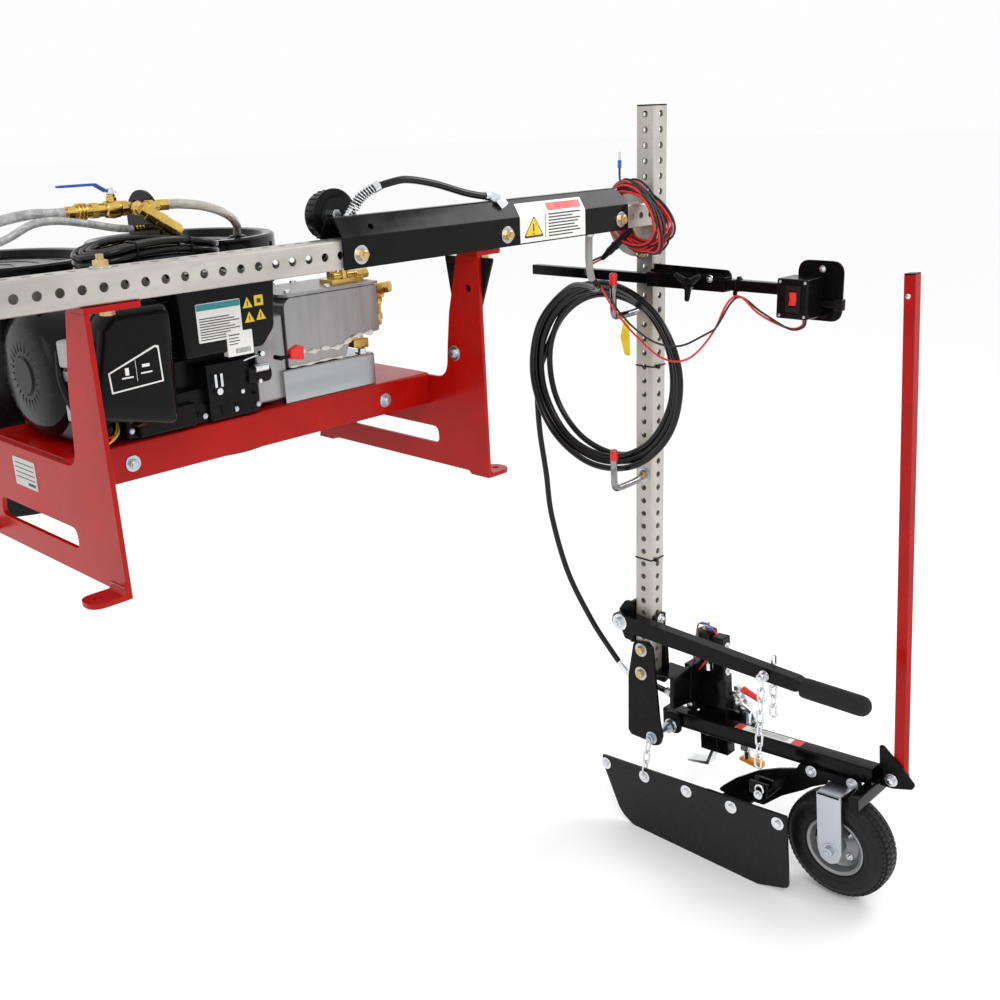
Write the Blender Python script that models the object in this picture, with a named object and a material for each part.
# Truck-mounted road line striping machine: engine and pump on a bent-plate skid,
# a perforated boom across the skid, and a mast with a wheeled spray carriage.
# All drawing dimensions are in inches and are turned into metres by W().
# Drawing axes: +X along the boom towards the mast, +Y across the truck, +Z up.
# The model's origin is the centre of the four skid feet, on the truck bed.
import bpy
import bmesh
import math
import numpy as np
from mathutils import Vector, Matrix

for _o in list(bpy.data.objects):
    bpy.data.objects.remove(_o, do_unlink=True)

IN = 0.0254                 # one inch in metres
GAP = 0.013                 # clearance between touching pieces, inches (0.33 mm)
# --- driving dimensions (inches, drawing frame: mast corner at X=0, Y=0, top hole at Z=0)
SKID_X0, SKID_X1 = -41.75, -17.75      # outer faces of the two end frames
SKID_Y0, SKID_Y1 = -1.3, 15.2          # front and rear end of the feet
BED_Z = -20.45                         # truck bed under the feet
PLATE_T = 0.25                         # end frame plate thickness
TUBE = 1.5                             # perforated square tube
TUBE_WALL = 0.105
BOOM_Y0, BOOM_Z0 = -0.91, -7.03        # lower front corner of the boom
BOOM_X0, BOOM_X1 = -47.5, -16.0
MAST_TOP, MAST_BOT = 0.5, -41.55
PIVOT_Y, PIVOT_Z = 0.75, -7.0          # mast swing axis (along X)
DECK_Z = -14.55
DECK_Y0, DECK_Y1 = 3.55, 12.2
CAR_Y, CAR_Z = -0.33, -46.2            # carriage pivot axis (along X)
CAR_TILT = math.radians(-4.5)          # carriage is hung up by 4.5 degrees
WHEEL_X, WHEEL_R, WHEEL_HW = 2.1, 4.05, 1.15
WHEEL_CY, WHEEL_CZ = -14.68, -4.97     # wheel centre in the carriage frame
LEV_Y, LEV_Z = 2.09, -36.74            # lift lever pivot axis (along X)
CHAIN_Y = -10.54                       # chain bolt on the lever
COIL_Y, COIL_Z, COIL_RO, COIL_RI = 2.85, -17.75, 6.95, 5.6
X0 = 0.5 * (SKID_X0 + SKID_X1)
Y0 = 0.5 * (SKID_Y0 + SKID_Y1)
Z0 = BED_Z


def W(p):
    return Vector(((p[0] - X0) * IN, (p[1] - Y0) * IN, (p[2] - Z0) * IN))


MATS = {}


def material(name, rgb, rough, metal=0.0):
    m = bpy.data.materials.new(name)
    m.use_nodes = True
    b = m.node_tree.nodes["Principled BSDF"]
    b.inputs["Base Color"].default_value = (rgb[0], rgb[1], rgb[2], 1.0)
    b.inputs["Roughness"].default_value = rough
    b.inputs["Metallic"].default_value = metal
    MATS[name] = m


material("red_paint", (0.55, 0.02, 0.01), 0.35)
material("black_paint", (0.015, 0.015, 0.018), 0.3)
material("galvanised", (0.52, 0.51, 0.49), 0.45, 0.9)
material("zinc", (0.62, 0.66, 0.7), 0.3, 1.0)
material("aluminium", (0.6, 0.6, 0.6), 0.4, 1.0)
material("brass", (0.7, 0.47, 0.12), 0.3, 1.0)
material("black_plastic", (0.012, 0.012, 0.013), 0.4)
material("black_rubber", (0.02, 0.02, 0.022), 0.7)
material("clear_hose", (0.75, 0.76, 0.76), 0.2)
material("blue_vinyl", (0.02, 0.08, 0.5), 0.4)
material("red_plastic", (0.7, 0.02, 0.01), 0.4)
material("orange_plastic", (0.9, 0.4, 0.02), 0.4)
material("red_wire", (0.6, 0.03, 0.02), 0.4)


# ---------------------------------------------------------------- solids (verts in inches)
def box(x0, x1, y0, y1, z0, z1):
    v = [(x, y, z) for x in (x0, x1) for y in (y0, y1) for z in (z0, z1)]
    f = [(0, 1, 3, 2), (4, 6, 7, 5), (0, 4, 5, 1), (2, 3, 7, 6), (0, 2, 6, 4), (1, 5, 7, 3)]
    return v, f


def prism(poly, axis, a0, a1):
    """poly: (u, v) points; axis x -> (y, z), y -> (x, z), z -> (x, y)."""
    area = sum(poly[i][0] * poly[(i + 1) % len(poly)][1] - poly[(i + 1) % len(poly)][0] * poly[i][1]
               for i in range(len(poly)))
    pts = list(poly) if area > 0 else list(poly)[::-1]
    put = {"x": lambda u, v, a: (a, u, v), "y": lambda u, v, a: (u, a, v), "z": lambda u, v, a: (u, v, a)}[axis]
    n = len(pts)
    lo, hi = (a1, a0) if axis == "y" else (a0, a1)
    v = [put(u, w, lo) for u, w in pts] + [put(u, w, hi) for u, w in pts]
    f = [tuple(range(n - 1, -1, -1)), tuple(range(n, 2 * n))]
    f += [(i, (i + 1) % n, n + (i + 1) % n, n + i) for i in range(n)]
    return v, f


def rounded(pts, r, n=3):
    """Round every corner of a polygon; r is one radius or one per corner."""
    out = []
    m = len(pts)
    rr = r if isinstance(r, (list, tuple)) else [r] * m
    for i in range(m):
        p, a, b = Vector(pts[i]), Vector(pts[i - 1]), Vector(pts[(i + 1) % m])
        u, w = (a - p), (b - p)
        lu, lw = u.length, w.length
        if rr[i] <= 0:
            out.append((p.x, p.y))
            continue
        u.normalize()
        w.normalize()
        half = u.angle(w) / 2
        d = min(rr[i] / math.tan(half), 0.45 * lu, 0.45 * lw)
        s, e = p + u * d, p + w * d
        for k in range(n + 1):
            t = k / n
            q = s * (1 - t) ** 2 + p * (2 * t * (1 - t)) + e * t ** 2
            out.append((q.x, q.y))
    return out


def frame_of(d):
    d = Vector(d).normalized()
    h = Vector((0, 0, 1)) if abs(d.z) < 0.9 else Vector((1, 0, 0))
    a = h.cross(d).normalized()
    return a, d.cross(a)


def cyl(p0, p1, r0, r1=None, n=14):
    r1 = r0 if r1 is None else r1
    p0, p1 = Vector(p0), Vector(p1)
    a, b = frame_of(p1 - p0)
    v = []
    for p, r in ((p0, r0), (p1, r1)):
        for k in range(n):
            t = 2 * math.pi * k / n
            v.append(tuple(p + a * (r * math.cos(t)) + b * (r * math.sin(t))))
    f = [tuple(range(n - 1, -1, -1)), tuple(range(n, 2 * n))]
    f += [(i, (i + 1) % n, n + (i + 1) % n, n + i) for i in range(n)]
    return v, f


def lathe(prof, c, axis, n=20, sc=(1.0, 1.0)):
    """Turn a closed or axis-touching profile [(r, h)] about an axis through c.
    The profile runs from the top down its outer side; r=0 ends become poles."""
    a, b = frame_of(axis)
    d = Vector(axis).normalized()
    c = Vector(c)
    v, rings = [], []
    for r, h in prof:
        if r <= 1e-9:
            rings.append([len(v)])
            v.append(tuple(c + d * h))
        else:
            rings.append(list(range(len(v), len(v) + n)))
            for k in range(n):
                t = 2 * math.pi * k / n
                v.append(tuple(c + a * (sc[0] * r * math.cos(t)) + b * (sc[1] * r * math.sin(t)) + d * h))
    f = []
    m = len(rings)
    closed = len(rings[0]) > 1
    for i in range(m if closed else m - 1):
        A, B = rings[i], rings[(i + 1) % m]
        for k in range(n):
            k2 = (k + 1) % n
            if len(A) == 1:
                f.append((A[0], B[k], B[k2]))
            elif len(B) == 1:
                f.append((A[k2], A[k], B[0]))
            else:
                f.append((A[k2], A[k], B[k], B[k2]))
    return v, f


def catmull(pts, step):
    """Points along a smooth curve through pts, about step apart."""
    P = [Vector(p) for p in pts]
    P = [P[0] * 2 - P[1]] + P + [P[-1] * 2 - P[-2]]
    dense = []
    for i in range(1, len(P) - 2):
        a, b, c, d = P[i - 1], P[i], P[i + 1], P[i + 2]
        for k in range(24):
            t = k / 24
            dense.append(0.5 * ((2 * b) + (c - a) * t + (2 * a - 5 * b + 4 * c - d) * t ** 2
                                + (3 * b - a - 3 * c + d) * t ** 3))
    dense.append(P[-2])
    L = [0.0]
    for i in range(1, len(dense)):
        L.append(L[-1] + (dense[i] - dense[i - 1]).length)
    n = max(2, int(round(L[-1] / step)))
    out, j = [], 0
    for k in range(n + 1):
        s = L[-1] * k / n
        while j < len(L) - 2 and L[j + 1] < s:
            j += 1
        t = (s - L[j]) / max(L[j + 1] - L[j], 1e-9)
        out.append(dense[j].lerp(dense[j + 1], min(max(t, 0), 1)))
    return out


def sweep(pts, r, n=8):
    P = [Vector(p) for p in pts]
    a, _ = frame_of(P[1] - P[0])
    v = []
    for i, p in enumerate(P):
        d = (P[min(i + 1, len(P) - 1)] - P[max(i - 1, 0)]).normalized()
        a = (a - d * a.dot(d)).normalized()
        b = d.cross(a)
        for k in range(n):
            t = 2 * math.pi * k / n
            v.append(tuple(p + a * (r * math.cos(t)) + b * (r * math.sin(t))))
    m = len(P)
    f = [tuple(range(n - 1, -1, -1)), tuple(range((m - 1) * n, m * n))]
    for i in range(m - 1):
        for k in range(n):
            k2 = (k + 1) % n
            f.append((i * n + k, i * n + k2, (i + 1) * n + k2, (i + 1) * n + k))
    return v, f


def tilt(s):
    """Turn a solid from the level carriage frame (origin on the pivot) to its hung pose."""
    c, n = math.cos(CAR_TILT), math.sin(CAR_TILT)
    v = [(x, CAR_Y + y * c - z * n, CAR_Z + y * n + z * c) for x, y, z in s[0]]
    return v, s[1]


def tp(p):
    return tilt(([p], []))[0][0]


def mesh_of(name, s, origin):
    o = W(origin) if origin is not None else Vector((0, 0, 0))
    me = bpy.data.meshes.new(name)
    me.from_pydata([tuple(W(p) - o) for p in s[0]], [], s[1])
    me.update()
    return me, o


def make(name, solids, mat, cut=(), origin=None, smooth=False):
    """One node: the first solid, united with the others, less the cutters."""
    me, o = mesh_of(name, solids[0], origin)
    ob = bpy.data.objects.new(name, me)
    ob.location = o
    bpy.context.scene.collection.objects.link(ob)
    me.materials.append(MATS[mat])
    jobs = [("UNION", s) for s in solids[1:]] + [("DIFFERENCE", s) for s in cut]
    for i, (op, s) in enumerate(jobs):
        cm, co = mesh_of("%s_tool_%d" % (name, i), s, origin)
        c = bpy.data.objects.new(cm.name, cm)
        c.location = co
        c.hide_render = True
        c.display_type = 'WIRE'
        bpy.context.scene.collection.objects.link(c)
        md = ob.modifiers.new("%s_%d" % (op.lower(), i), 'BOOLEAN')
        md.operation = op
        md.solver = 'EXACT'
        md.object = c
    if smooth:
        me.shade_smooth()
        me.set_sharp_from_angle(angle=math.radians(35))
    return ob


def hose(name, pts, r, mat, step, res=2):
    P = catmull(pts, step)
    cu = bpy.data.curves.new(name, 'CURVE')
    cu.dimensions = '3D'
    cu.bevel_depth = r * IN
    cu.bevel_resolution = res
    cu.render_resolution_u = 0
    cu.use_fill_caps = True
    sp = cu.splines.new('POLY')
    sp.points.add(len(P) - 1)
    for i, p in enumerate(P):
        sp.points[i].co = (*W(p), 1.0)
    ob = bpy.data.objects.new(name, cu)
    bpy.context.scene.collection.objects.link(ob)
    cu.materials.append(MATS[mat])
    return ob


# ---------------------------------------------------------------- skid end frames
def end_frame(name, xin, sgn):
    """Plate in the YZ plane. xin is its outer face, sgn +1 if outside is +X."""
    xa, xb = sorted((xin, xin - sgn * PLATE_T))
    zb = BED_Z
    outline = [(-1.1, -7.3), (0.65, -7.3), (1.5, -10.7), (1.75, -12.6), (1.95, -13.7), (2.35, -14.4), (3.1, -14.7),
               (13.2, -14.7), (14.1, -15.3), (SKID_Y1, zb), (SKID_Y1 - 1.5, zb), (SKID_Y1 - 1.7, zb + 0.2),
               (0.4, zb + 0.2), (0.2, zb), (SKID_Y0, zb), (-1.15, -10.7)]
    body = prism(outline, "x", xa, xb)
    slot = prism(rounded([(3.0, -17.9), (11.2, -17.9), (11.5, -18.95), (2.9, -18.95)], 0.35, 2), "x", xa - 1, xb + 1)
    solids = [body]
    for ya, yb in ((SKID_Y0, 0.2), (SKID_Y1 - 1.5, SKID_Y1)):
        xo = xin + sgn * 1.75
        tab = rounded([(xin - sgn * 0.1, ya), (xo, ya), (xo, yb), (xin - sgn * 0.1, yb)], [0, 0.7, 0.7, 0], 3)
        solids.append(prism(tab, "z", zb, zb + 0.25))
    hole = [cyl((xin + sgn * 1.1, yc, zb - 1), (xin + sgn * 1.1, yc, zb + 1), 0.22, n=8)
            for yc in (SKID_Y0 + 0.75, SKID_Y1 - 0.75)]
    # top tab under the boom always runs towards the mast
    xt = (xa + 0.02, xa + 2.9) if sgn < 0 else (xb - 0.02, xb + 1.9)
    solids.append(box(xt[0] - (0 if sgn < 0 else 0.2), xt[1], -1.0, 0.62, -7.32, BOOM_Z0 - GAP))
    if sgn > 0:                      # bolted gusset that braces the arm
        solids.append(prism([(1.6, -7.42), (-2.65, -7.42), (-1.2, -10.75), (1.45, -10.75)], "x", xb - 0.02, xb + 0.2))
    return make(name, solids, "red_paint", [slot] + hole)


end_frame("end_frame_left", SKID_X0, -1)
end_frame("end_frame_right", SKID_X1, +1)

# deck: top sheet with a front and a rear flange, bolted between the end frames
xa, xb = SKID_X0 + PLATE_T + GAP, SKID_X1 - PLATE_T - GAP
make("deck_tray", [prism([(DECK_Y0, DECK_Z), (DECK_Y1, DECK_Z), (DECK_Y1, -16.45), (DECK_Y1 - 0.15, -16.45),
                          (DECK_Y1 - 0.15, DECK_Z - 0.15), (DECK_Y0 + 0.15, DECK_Z - 0.15),
                          (DECK_Y0 + 0.15, -16.45), (DECK_Y0, -16.45)], "x", xa, xb)], "red_paint")


# ---------------------------------------------------------------- boom, sleeve, arm tube
def sq_tube(p0, p1, w, t, y0, z0):
    out = prism([(y0, z0), (y0 + w, z0), (y0 + w, z0 + w), (y0, z0 + w)], "x", p0, p1)
    inn = prism([(y0 + t, z0 + t), (y0 + w - t, z0 + t), (y0 + w - t, z0 + w - t), (y0 + t, z0 + w - t)],
                "x", p0 - 1, p1 + 1)
    return out, inn


o, i = sq_tube(BOOM_X0, BOOM_X1, TUBE, TUBE_WALL, BOOM_Y0, BOOM_Z0)
make("boom_tube", [o], "galvanised", [i])
e = TUBE_WALL + GAP
o, i = sq_tube(BOOM_X1 + 0.1, -0.3, TUBE, TUBE_WALL, BOOM_Y0, BOOM_Z0)
make("arm_tube", [o], "galvanised", [i, cyl((-1.1, PIVOT_Y, PIVOT_Z), (0, PIVOT_Y, PIVOT_Z), 0.47, n=12)])

t = 0.12
SL = [(-1.1, -7.03), (-1.1, -5.45), (-0.45, -4.42), (0.13, -4.42), (0.78, -5.45), (0.78, -7.03),
      (0.78 - t, -7.03), (0.78 - t, -5.41), (0.06, -4.42 - t), (-0.38, -4.42 - t), (-1.1 + t, -5.41), (-1.1 + t, -7.03)]
make("arm_sleeve", [prism(SL, "x", -27.5, -4.2)], "black_paint")
# round clevis disc on the end of the arm tube
make("pivot_disc", [prism([(1.35 + 2.35 * math.cos(math.radians(a)), -6.95 + 2.35 * math.sin(math.radians(a)))
                           for a in range(0, 360, 15)], "x", -0.285, -GAP)], "galvanised",
     [box(-1, 1, -3, -0.35, -12, -2), cyl((-1, PIVOT_Y, PIVOT_Z), (1, PIVOT_Y, PIVOT_Z), 0.25, n=10)])

# ---------------------------------------------------------------- engine
make("engine_block", [box(-38.3, -30.05, 4.3, 9.4, DECK_Z + GAP, -11.1),
                      box(-37.8, -30.6, 4.6, 9.0, -11.3, -10.0),
                      box(-38.3, -35.3, 4.4, 9.3, -11.5, -7.9),
                      box(-33.6, -31.0, 3.2, 4.4, -13.6, -11.4),
                      cyl((-31.2, 3.45, -12.4), (-29.7, 3.45, -12.4), 0.5, n=10),
                      box(-37.6, -35.6, 9.0, 11.9, -12.2, -8.6)], "black_paint")
make("recoil_housing", [lathe([(0, 1.35), (2.2, 1.35), (3.2, 0.9), (3.35, 0), (3.35, -1.5), (0, -1.5)],
                              (-39.85, 7.4, -11.1), (-1, 0, 0), 20)], "black_plastic",
     [cyl((-40.4, 7.4, -8.4), (-40.4, 7.4, -7.0), 0.16, n=6)], smooth=True)
make("starter_grip", [box(-40.75, -40.05, 6.6, 8.2, -7.25, -6.95), cyl((-40.4, 7.4, -7.7), (-40.4, 7.4, -7.1), 0.12, n=6)],
     "black_plastic", origin=(-40.4, 7.4, -7.1))
make("air_cleaner_cover", [prism(rounded([(-40.5, -12.6), (-39.9, -8.2), (-39.0, -7.7), (-35.7, -7.75), (-36.1, -13.9)],
                                         [0.5, 0.6, 0.6, 0.4, 0.4], 2), "y", 1.9, 3.95)], "black_plastic", smooth=True)
make("fuel_tank", [prism(rounded([(-34.95, -10.9), (-35.1, -7.5), (-34.7, -6.95), (-29.4, -6.95), (-29.1, -7.4),
                                  (-29.4, -10.0), (-30.2, -10.9)], [0.3, 0.3, 0.3, 0.3, 0.3, 0.5, 0.3], 2),
                         "y", 2.7, 4.05),
                   box(-34.9, -30.1, 3.9, 8.6, -9.9, -7.1), cyl((-33.6, 7.4, -7.2), (-33.6, 7.4, -6.7), 1.0, n=14)],
     "black_plastic")
make("choke_lever", [box(-29.5, -28.65, 2.55, 2.7, -11.75, -11.55), box(-28.85, -27.95, 2.4, 2.75, -11.85, -11.3),
                     cyl((-29.4, 2.5, -11.65), (-29.4, 3.1, -11.65), 0.13, n=8)],
     "red_plastic", origin=(-29.4, 2.8, -11.65))

# ---------------------------------------------------------------- drive and pump
SH_Y, SH_Z = 6.1, -11.7
make("bell_housing", [box(-30.0, -27.95, 4.1, 8.1, -14.3, -9.6)], "aluminium",
     [cyl((-31, SH_Y, SH_Z), (-27, SH_Y, SH_Z), 1.3, n=14)])
make("drive_coupling", [cyl((-30.0, SH_Y, SH_Z), (-27.96, SH_Y, SH_Z), 0.5, n=12),
                        cyl((-29.4, SH_Y, SH_Z), (-28.5, SH_Y, SH_Z), 1.0, n=12)], "galvanised",
     origin=(-29, SH_Y, SH_Z), smooth=False)
make("pump_base_rail", [prism([(3.85, DECK_Z + GAP), (3.85, -12.68), (8.3, -12.68), (8.3, DECK_Z + GAP),
                               (8.0, DECK_Z + GAP), (8.0, -12.98), (4.15, -12.98), (4.15, DECK_Z + GAP)],
                              "x", -27.6, -21.95)], "aluminium")
make("pump_body", [prism([(-27.9, -12.64), (-27.9, -8.8), (-21.3, -8.8), (-21.3, -11.5), (-23.4, -11.5), (-23.9, -12.64)],
                         "y", 4.0, 7.9)], "aluminium")
make("pump_outlet_manifold", [cyl((-21.3 + GAP, 5.2, -9.9), (-20.1, 5.2, -9.9), 0.42, n=10),
                              box(-20.9, -20.2, 4.8, 5.6, -11.7, -9.4)], "brass")

# ---------------------------------------------------------------- paint pails
PAIL_R = (-23.6, 21.0)
PAIL_L = (-37.0, 19.3)
PH = 13.15
for nm, (px, py) in (("paint_pail_right", PAIL_R), ("paint_pail_left", PAIL_L)):
    make(nm, [lathe([(0, PH + 0.35), (5.3, PH + 0.35), (5.5, PH + 0.75), (6.0, PH + 0.75), (6.1, PH + 0.55), (6.1, PH - 0.3),
                     (5.68, PH - 0.9), (5.15, 0), (0, 0)], (px, py, BED_Z), (0, 0, 1), 24)], "black_plastic", smooth=True)
LID_Z = BED_Z + PH + 0.35

# ---------------------------------------------------------------- recirculation valve on its post
VY, VZ = 11.0, -3.82
make("valve_post", [prism([(9.95, DECK_Z + GAP), (9.95, -7.2), (8.75, -6.2), (8.75, -4.5)] +
                          [(10.4 - 1.65 * math.cos(math.radians(a)), -4.5 + 1.6 * math.sin(math.radians(a)))
                           for a in range(18, 180, 18)] + [(12.05, -4.5), (12.05, DECK_Z + GAP)], "x", -32.05, -31.85)],
     "black_paint", [cyl((-33, VY, VZ), (-31, VY, VZ), 0.36, n=10), cyl((-33, 10.4, -4.9), (-31, 10.4, -4.9), 0.2, n=8)])
make("valve_body", [cyl((-36.1, VY, VZ), (-34.9, VY, VZ), 0.3, n=10), cyl((-35.1, VY, VZ), (-34.3, VY, VZ), 0.42, n=6),
                    cyl((-34.4, VY, VZ), (-32.3, VY, VZ), 0.46, n=10), cyl((-32.5, VY, VZ), (-30.9, VY, VZ), 0.3, n=10),
                    cyl((-31.7, VY, VZ), (-30.1, VY, VZ), 0.33, n=10), cyl((-33.4, VY, VZ), (-33.4, VY, -3.02), 0.3, n=8)],
     "brass")
make("valve_handle", [lathe([(0.2, 0.2), (0.34, 0.2), (0.34, 0.0), (0.2, 0.0)], (-33.4, VY, -2.98), (0, 0, 1), 10),
                      prism([(-33.65, -2.98), (-34.3, -2.55), (-36.3, -2.55), (-36.3, -2.43), (-34.25, -2.43),
                             (-33.6, -2.84)], "y", VY - 0.25, VY + 0.25)], "blue_vinyl", origin=(-33.4, VY, -2.9))

# ---------------------------------------------------------------- gauge and arm jumper hose
make("pressure_gauge", [cyl((-25.6, 1.9, -4.55), (-25.6, 3.0, -4.55), 1.3, n=18),
                        cyl((-25.6, 2.45, -5.6), (-25.6, 2.45, -6.2), 0.3, n=6),
                        box(-26.3, -24.9, 0.78 + GAP, 2.9, -6.8, -6.1)], "black_plastic")

# ---------------------------------------------------------------- mast (drawn at rest, hanging down)
PV = (0.75, PIVOT_Y, PIVOT_Z)
out = box(0, TUBE, 0, TUBE, MAST_BOT, MAST_TOP)
inn = box(TUBE_WALL, TUBE - TUBE_WALL, TUBE_WALL, TUBE - TUBE_WALL, MAST_BOT - 1, MAST_TOP + 1)
make("mast_tube", [out], "galvanised", [inn, cyl((-1, PIVOT_Y, PIVOT_Z), (3, PIVOT_Y, PIVOT_Z), 0.25, n=10)], origin=PV)
make("pivot_bolt", [cyl((-0.9, PIVOT_Y, PIVOT_Z), (1.9, PIVOT_Y, PIVOT_Z), 0.2, n=10),
                    cyl((-0.95, PIVOT_Y, PIVOT_Z), (-0.32, PIVOT_Y, PIVOT_Z), 0.42, n=6),
                    cyl((1.53, PIVOT_Y, PIVOT_Z), (1.95, PIVOT_Y, PIVOT_Z), 0.42, n=6)], "brass", origin=PV)


def hook(name, zr, xo, up):
    pts = [(-0.2, 0.75, zr), (-1.0, 0.75, zr - 0.22), (xo + 0.55, 0.75, zr - 0.27), (xo + 0.12, 0.75, zr - 0.1),
           (xo, 0.75, zr + 0.5), (xo, 0.75, zr + up)]
    return make(name, [sweep(catmull(pts, 0.5), 0.22, 8), cyl((-0.35, 0.75, zr), (-GAP, 0.75, zr), 0.36, n=8)],
                "zinc", origin=PV)


hook("hose_hook_upper", -12.72, -3.45, 2.7)
hook("hose_hook_lower", -25.0, -3.45, 2.8)

# switch arm: sliding square tube in a clamp bracket
SX0, SX1 = -1.02, -0.32
SZ0, SZ1 = -10.98, -10.28
g = 0.02
make("switch_bracket", [box(SX0 - 0.12, SX1 + 0.1, -6.5, -0.3, SZ0 - 0.12, SZ1 + 0.55),
                        box(SX1, 1.3, -0.31, -GAP, -11.05, -10.05)], "black_paint",
     [box(SX0 - g, SX1 + g, -7, 0.5, SZ0 - g, SZ1 + g), box(SX0 + 0.02, SX1 + 3, -7, -0.45, SZ1 + 0.12, SZ1 + 1),
      box(SX0 - 1, SX0 + 0.1, -4.3, -3.9, -10.83, -10.43)], origin=PV)
make("switch_arm_tube", [box(SX0, SX1, -10.6, 10.3, SZ0, SZ1)], "black_paint", origin=(-0.67, 0, -10.63))
make("arm_clamp_knob", [cyl((SX0 - 0.9, -4.1, -10.63), (SX0 - 0.03, -4.1, -10.63), 0.15, n=8),
                        box(SX0 - 0.95, SX0 - 0.45, -4.95, -3.25, -10.85, -10.41),
                        cyl((SX0 - 0.5, -4.1, -10.63), (SX0 - 0.2, -4.1, -10.63), 0.42, n=10)],
     "black_plastic", origin=(SX0 - 0.4, -4.1, -10.63))
BX0, BX1 = -1.65, 0.35
make("switch_box", [box(BX0, BX1, -12.75, -10.6 - GAP, -12.3, -9.85),
                    prism(rounded([(-14.0, -12.6), (-14.0, -8.9), (-10.9, -8.9), (-10.9, -12.6)], 0.7, 2), "x",
                          BX1 - 0.02, BX1 + 0.16)], "black_plastic",
     [box(BX0 - 1, BX0 + 0.4, -12.25, -11.35, -11.8, -10.3)], origin=(-0.67, 0, -10.63))
make("rocker_switch", [prism([(BX0 + 0.25, -11.66), (BX0 - 0.12, -11.58), (BX0 - 0.02, -11.05), (BX0 - 0.12, -10.52),
                              (BX0 + 0.25, -10.44)], "y", -12.2, -11.4)], "red_plastic",
     origin=(BX0 + 0.2, -11.8, -11.05))

# hanger plates and carriage cross tube
HANG = [(1.4, -38.45), (0.2, -38.25), (-0.3, -38.55), (-1.0, -44.6), (-1.3, -45.8), (-1.1, -46.6), (-0.4, -46.9),
        (0.3, -46.65), (1.7, -46.65), (2.0, -46.3), (2.0, -41.6), (1.55, -38.8)]
make("hanger_plate_near", [prism(HANG, "x", -0.26, -GAP)], "black_paint",
     [cyl((-1, CAR_Y, CAR_Z), (1, CAR_Y, CAR_Z), 0.27, n=10)], origin=PV)
FARP = [(1.4, -38.45), (0.2, -38.25), (-0.3, -38.55), (-0.55, -41.6), (-0.2, -42.2), (1.75, -42.2), (2.0, -41.6), (1.55, -38.8)]
make("hanger_plate_far", [prism(FARP, "x", TUBE + GAP, TUBE + 0.26)], "black_paint",
     [cyl((1, CAR_Y, CAR_Z), (3, CAR_Y, CAR_Z), 0.27, n=10)], origin=PV)
make("lever_bracket", [box(-0.27, 1.7, TUBE + GAP, 1.78, -38.6, -35.2),
                       prism(rounded([(1.55, -38.5), (1.55, -35.3), (2.3, -35.3), (2.85, -36.1), (2.85, -37.4), (2.3, -38.5)],
                                     0.25, 2), "x", -0.27, -GAP)], "black_paint",
     [cyl((-1, LEV_Y, LEV_Z), (1, LEV_Y, LEV_Z), 0.27, n=10)], origin=PV)

# lift lever
LX0, LX1 = -1.17, -0.3
LV = (LX0, LEV_Y, LEV_Z)
make("lift_lever", [prism([(2.75, -36.35), (2.75, -37.3), (-12.9, -37.62), (-13.2, -37.5), (-17.6, -37.6), (-17.6, -36.85),
                            (-13.2, -36.75), (-12.9, -36.63)], "x", LX0, LX1),
                    cyl((LX0, LEV_Y, LEV_Z), (LX1, LEV_Y, LEV_Z), 0.66, n=12)], "black_paint",
     [cyl((-3, LEV_Y, LEV_Z), (1, LEV_Y, LEV_Z), 0.26, n=10)], origin=LV)
make("lever_grip", [cyl((-0.735, -13.35, -37.13), (-0.735, -17.75, -37.23), 0.78, n=14),
                    lathe([(0, 0.5), (0.5, 0.38), (0.76, 0.0), (0, -0.2)], (-0.735, -17.7, -37.23), (0, -1, 0), 14)],
     "black_rubber", [box(LX0 - g, LX1 + g, -17.63, 0, -37.64, -36.71)], origin=LV)
CX = LX0 - 0.3
make("lift_chain", [cyl((CX, CHAIN_Y, -37.42), (CX, CHAIN_Y, -44.2), 0.2, n=6)], "zinc",
     origin=(CX, CHAIN_Y, -37.15))

# ---------------------------------------------------------------- carriage (level frame, then hung by the tilt)
CO = (2.5, CAR_Y, CAR_Z)


def cmake(name, solids, mat, cut=(), **k):
    k.setdefault("origin", CO)
    return make(name, [tilt(s) for s in solids], mat, [tilt(s) for s in cut], **k)


BO = box(2.5, 3.75, -16.9, 0.9, -0.06, 1.19)
BI = box(2.6, 3.65, -18, 2, 0.06, 1.09)
cmake("carriage_beam", [BO, prism(rounded([(-0.9, -0.6), (-0.9, 1.2), (0.7, 1.2), (0.75, -0.6)], 0.5, 3), "x", 2.23, 2.55),
                        cyl((TUBE + 0.28, 0, 0), (2.3, 0, 0), 0.48, n=12), cyl((-0.8, 0, 0), (2.3, 0, 0), 0.22, n=10),
                        cyl((-0.62, 0, 0), (-0.28, 0, 0), 0.4, n=6), box(0.4, 4.5, -17.0, -16.25, -1.12, -0.04)],
      "black_paint", [BI])
AX = (2.2, 2.46)
ARM = [(-4.0, -4.4), (-5.9, -2.8), (-8.0, -1.5), (-9.6, -0.85), (-11.2, -0.35), (-11.4, 0.1), (-16.2, 0.1), (-16.2, -0.5),
       (-13.7, -0.5), (-13.6, -0.85), (-12.4, -1.45), (-11.7, -1.95), (-9.9, -3.0), (-8.3, -4.3)]
cmake("fender_arm", [prism(ARM, "x", AX[0], AX[1]),
                     box(-0.74, AX[0] + 0.1, -7.6, -5.2, -4.2, -3.95), box(-0.74, -0.5, -7.6, -5.2, -4.2, -2.6),
                     box(-1.62, AX[0] + 0.1, -10.6, -10.1, -1.55, -1.2), box(-1.62, -1.3, -10.6, -10.1, -1.5, -0.75)],
      "black_paint")
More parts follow.
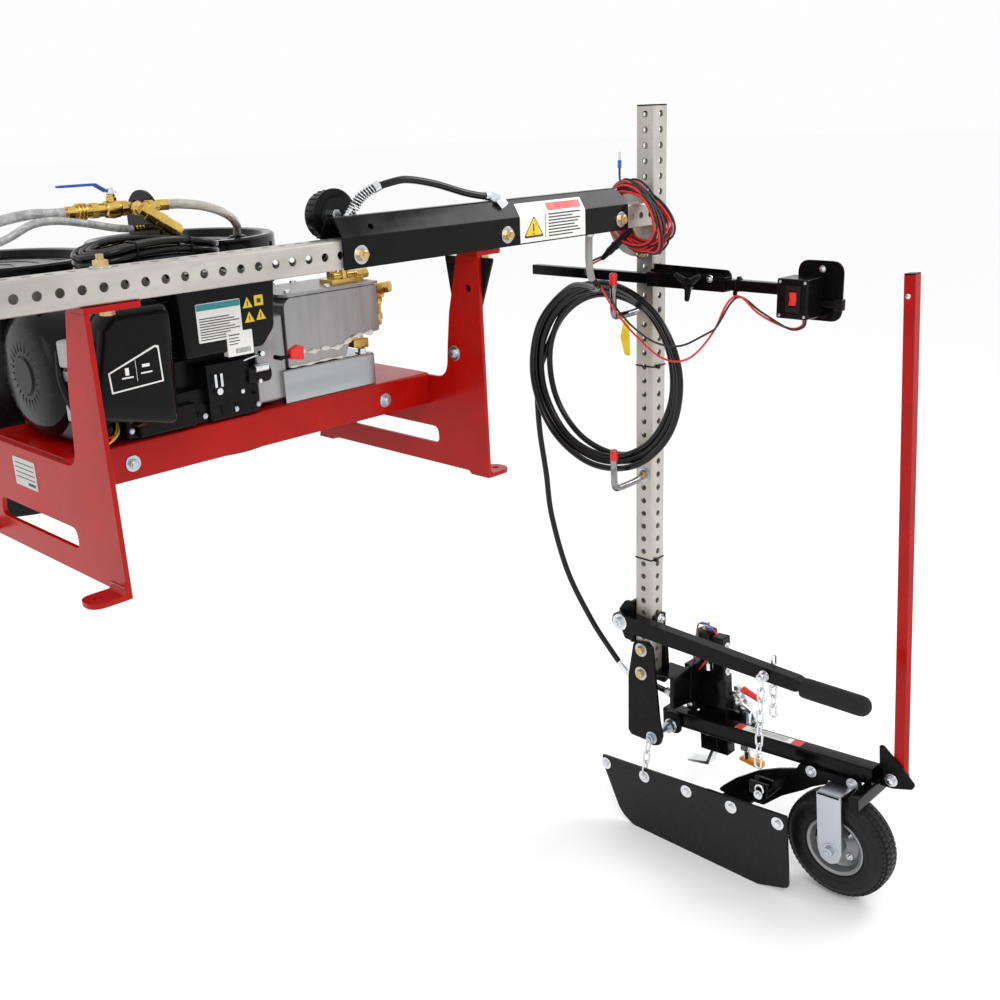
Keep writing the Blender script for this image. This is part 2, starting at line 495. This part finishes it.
FLAP = [(4.6, -2.53), (-12.2, -2.4), (-12.2, -8.05), (-11.8, -8.33), (-8.93, -8.95), (-5.36, -9.35), (-2.2, -9.05),
        (1.0, -8.3), (2.67, -7.4), (3.25, -6.7), (4.62, -3.3)]
cmake("splash_flap", [prism(FLAP, "x", -1.02, -0.76)], "black_rubber")
cmake("wheel_fork", [box(0.55, 3.65, -15.5, -13.8, -0.75, -0.55), box(2.49, 3.65, -15.4, -13.9, -0.6, -0.06 - GAP),
                     prism([(-15.6, -0.55), (-13.75, -0.55), (-13.75, -5.0), (-14.0, -5.7), (-14.68, -6.05), (-15.36, -5.7),
                            (-15.6, -5.0)], "x", 0.5, 0.65),
                     prism([(-15.6, -0.55), (-13.75, -0.55), (-13.75, -5.0), (-14.0, -5.7), (-14.68, -6.05), (-15.36, -5.7),
                            (-15.6, -5.0)], "x", 3.55, 3.7),
                     cyl((0.3, WHEEL_CY, WHEEL_CZ), (3.9, WHEEL_CY, WHEEL_CZ), 0.24, n=10),
                     cyl((0.15, WHEEL_CY, WHEEL_CZ), (0.52, WHEEL_CY, WHEEL_CZ), 0.42, n=6),
                     cyl((3.68, WHEEL_CY, WHEEL_CZ), (4.05, WHEEL_CY, WHEEL_CZ), 0.42, n=6)], "zinc")
WC = tp((WHEEL_X, WHEEL_CY, WHEEL_CZ))
wc = (WHEEL_X, WHEEL_CY, WHEEL_CZ)
hw = WHEEL_HW
cmake("wheel_rim", [lathe([(0.33, 1.25), (0.62, 1.25), (0.62, 0.25), (1.85, 0.12), (1.92, 0.75), (2.2, 0.95), (2.2, 0.8),
                           (2.02, 0.6), (2.02, -0.6), (2.2, -0.8), (2.2, -0.95), (1.92, -0.75), (1.85, -0.12),
                           (0.62, -0.25), (0.62, -1.25), (0.33, -1.25)], wc, (1, 0, 0), 24)], "galvanised",
      origin=WC, smooth=True)
cmake("tyre", [lathe([(2.06, 0.55), (2.3, 0.8), (2.36, 1.0), (2.9, WHEEL_HW), (3.5, 1.0), (3.9, 0.65), (WHEEL_R, 0.0), (3.9, -0.65),
                      (3.5, -1.0), (2.9, -WHEEL_HW), (2.36, -1.0), (2.3, -0.8), (2.06, -0.55)], wc, (1, 0, 0), 24)], "black_rubber",
      origin=WC, smooth=True)

# pointer at the end of the beam
PB = [(-17.03, 2.7), (-17.3, 2.75), (-18.4, 1.7), (-19.6, 0.35), (-19.4, 0.0), (-18.0, -0.35), (-17.03, -0.34)]
cmake("pointer_bracket", [prism(PB, "x", 3.4, 3.6), box(3.4, 4.6, -17.3, -17.03, -0.3, 1.0)], "black_paint")
PP = tp((4.0, -18.3, 0.45))
cmake("pointer_rod", [prism([(-18.7, 0.15), (-17.95, 0.15), (-18.75, 34.9), (-19.5, 34.9)], "x", 3.63, 4.38)], "red_paint",
      origin=PP)

# gun column and spray gun
cmake("gun_column", [box(3.77, 4.85, -4.2, -3.15, -2.15, 7.7), box(3.77, 5.3, -3.2, -1.7, -2.15, 1.5),
                     box(3.2, 5.3, -1.75, -0.9, 1.3, 5.2), box(4.2, 4.8, -3.2, -1.7, 1.2, 4.5)], "black_paint")
cmake("valve_solenoid", [cyl((4.5, -2.3, 5.4), (4.5, -2.3, 7.9), 0.68, n=14), cyl((4.5, -2.3, 4.5 + GAP), (4.5, -2.3, 5.6), 0.4, n=10)],
      "black_plastic")
cmake("spray_gun", [cyl((5.0, -5.2, -1.7), (5.0, -5.2, 2.2), 0.5, n=12), box(4.6, 5.4, -5.0, -4.2 - GAP, 0.6, 1.5),
                    cyl((5.0, -5.2, -2.6), (5.0, -5.2, -1.6), 0.3, n=8),
                    box(4.7, 5.3, -6.6, -4.6, -3.0, -2.5),
                    box(4.7, 5.3, -4.9, -4.2 - GAP, 1.4, 3.05), box(3.9, 5.0, -6.0, -5.5, -1.2, -0.7)], "zinc")
GH = tp((5.0, -4.5, 3.2))
cmake("gun_clamp_handle", [cyl((5.0, -4.6, 3.35), (5.0, -5.2, 3.25), 0.13, n=6), cyl((5.0, -5.0, 3.32), (5.0, -6.4, 2.8), 0.28, n=8),
                           box(4.75, 5.25, -4.75, -4.35, 3.13, 3.5)], "red_plastic", origin=GH)

# ---------------------------------------------------------------- hoses and wires
# spray hose: coil on the mast's hooks, then the drop to the swivel pipe
make("hose_coil", [lathe([(COIL_RI, 0.85), (COIL_RO, 0.85), (COIL_RO, -0.85), (COIL_RI, -0.85)],
                         (-2.05, COIL_Y, COIL_Z), (1, 0, 0), 28)], "black_rubber", origin=PV)
hose("hose_drop", [(-1.9, 9.3, -21.2), (-1.75, 9.25, -23.2), (-1.55, 8.95, -26.0), (-1.4, 8.6, -29.5), (-1.0, 7.4, -34.0),
                   (-0.35, 5.6, -37.8), (0.35, 4.1, -40.4), (0.72, 3.2, -41.7), (0.75, 2.78, -41.98)], 0.22, "black_rubber", 1.1, 2)
hose("jumper_hose", [(-25.3, 0.45, -4.0), (-24.9, 0.3, -3.55), (-24.36, 0.0, -3.2), (-23.3, -0.2, -2.95), (-22.12, -0.2, -2.88),
                     (-20.21, -0.2, -3.21), (-18.06, -0.2, -3.8), (-16.9, -0.2, -4.05), (-16.2, -0.2, -4.15)], 0.2, "black_rubber", 0.9, 2)
hose("clear_hose_right", [(-30.06, VY, VZ), (-29.3, 11.02, -3.84), (-27.4, 11.9, -4.1), (-25.2, 13.5, -4.6),
                          (-23.2, 15.4, -5.2), (-21.6, 17.3, -5.85), (-20.8, 18.5, -6.4), (-20.6, 18.85, -6.6)], 0.27, "clear_hose", 1.0, 2)
hose("clear_hose_left", [(-36.14, VY, VZ), (-36.7, VY, VZ), (-38.0, 11.4, -3.8), (-39.2, 12.5, -4.1), (-40.0, 14.6, -4.6),
                         (-40.1, 16.6, -5.5), (-40.0, 17.4, -6.6)], 0.27, "clear_hose", 1.0, 2)
hose("clear_hose_low", [(-32.72, 10.4, -4.9), (-33.8, 10.35, -4.75), (-35.6, 10.2, -4.35), (-37.2, 10.0, -4.1), (-38.5, 9.9, -4.2),
                        (-39.8, 10.1, -4.8), (-41.2, 11.4, -5.4), (-41.9, 14.0, -5.5), (-41.7, 16.2, -5.6), (-41.2, 17.6, -5.95),
                        (-40.92, 18.3, -6.4), (-40.9, 18.35, LID_Z + 0.1)], 0.2, "clear_hose", 1.0, 2)
# spare hose lying in a flat hank on top of the tank
hk = rounded([(-38.2, 4.3), (-30.4, 4.3), (-30.4, 8.3), (-38.2, 8.3)], 1.9, 4)
hz = rounded([(-36.4, 5.9), (-32.2, 5.9), (-32.2, 6.7), (-36.4, 6.7)], 0.35, 2)
make("spare_hose_hank", [prism(hk, "z", -6.6, -5.45)], "black_rubber", [prism(hz, "z", -8, -4)])

# wiring: hank on the arm tube, and the lead from the switch box with its inline connector
make("wire_hank", [lathe([(1.45, 0.62), (2.75, 0.62), (2.95, 0.2), (2.95, -0.2), (2.75, -0.62), (1.45, -0.62)],
                         (-1.95, -0.16, -6.45), (1, 0, 0), 20, (1.0, 0.93))], "red_wire")
hose("wire_lead", [(-1.2, -12.4, -12.32), (-1.25, -12.3, -12.75), (-1.5, -11.5, -12.9), (-1.7, -9.6, -12.1), (-1.75, -8.2, -11.2),
                   (-1.9, -7.4, -11.6), (-2.6, -6.7, -13.4), (-3.6, -5.4, -15.1), (-4.0, -3.6, -15.2), (-4.15, -1.6, -13.9), (-4.2, 0.3, -11.9),
                   (-4.3, 1.4, -10.6), (-4.35, 2.15, -9.2), (-4.2, 2.1, -8.5), (-3.98, 1.75, -8.1)], 0.075, "red_wire", 0.42, 2)
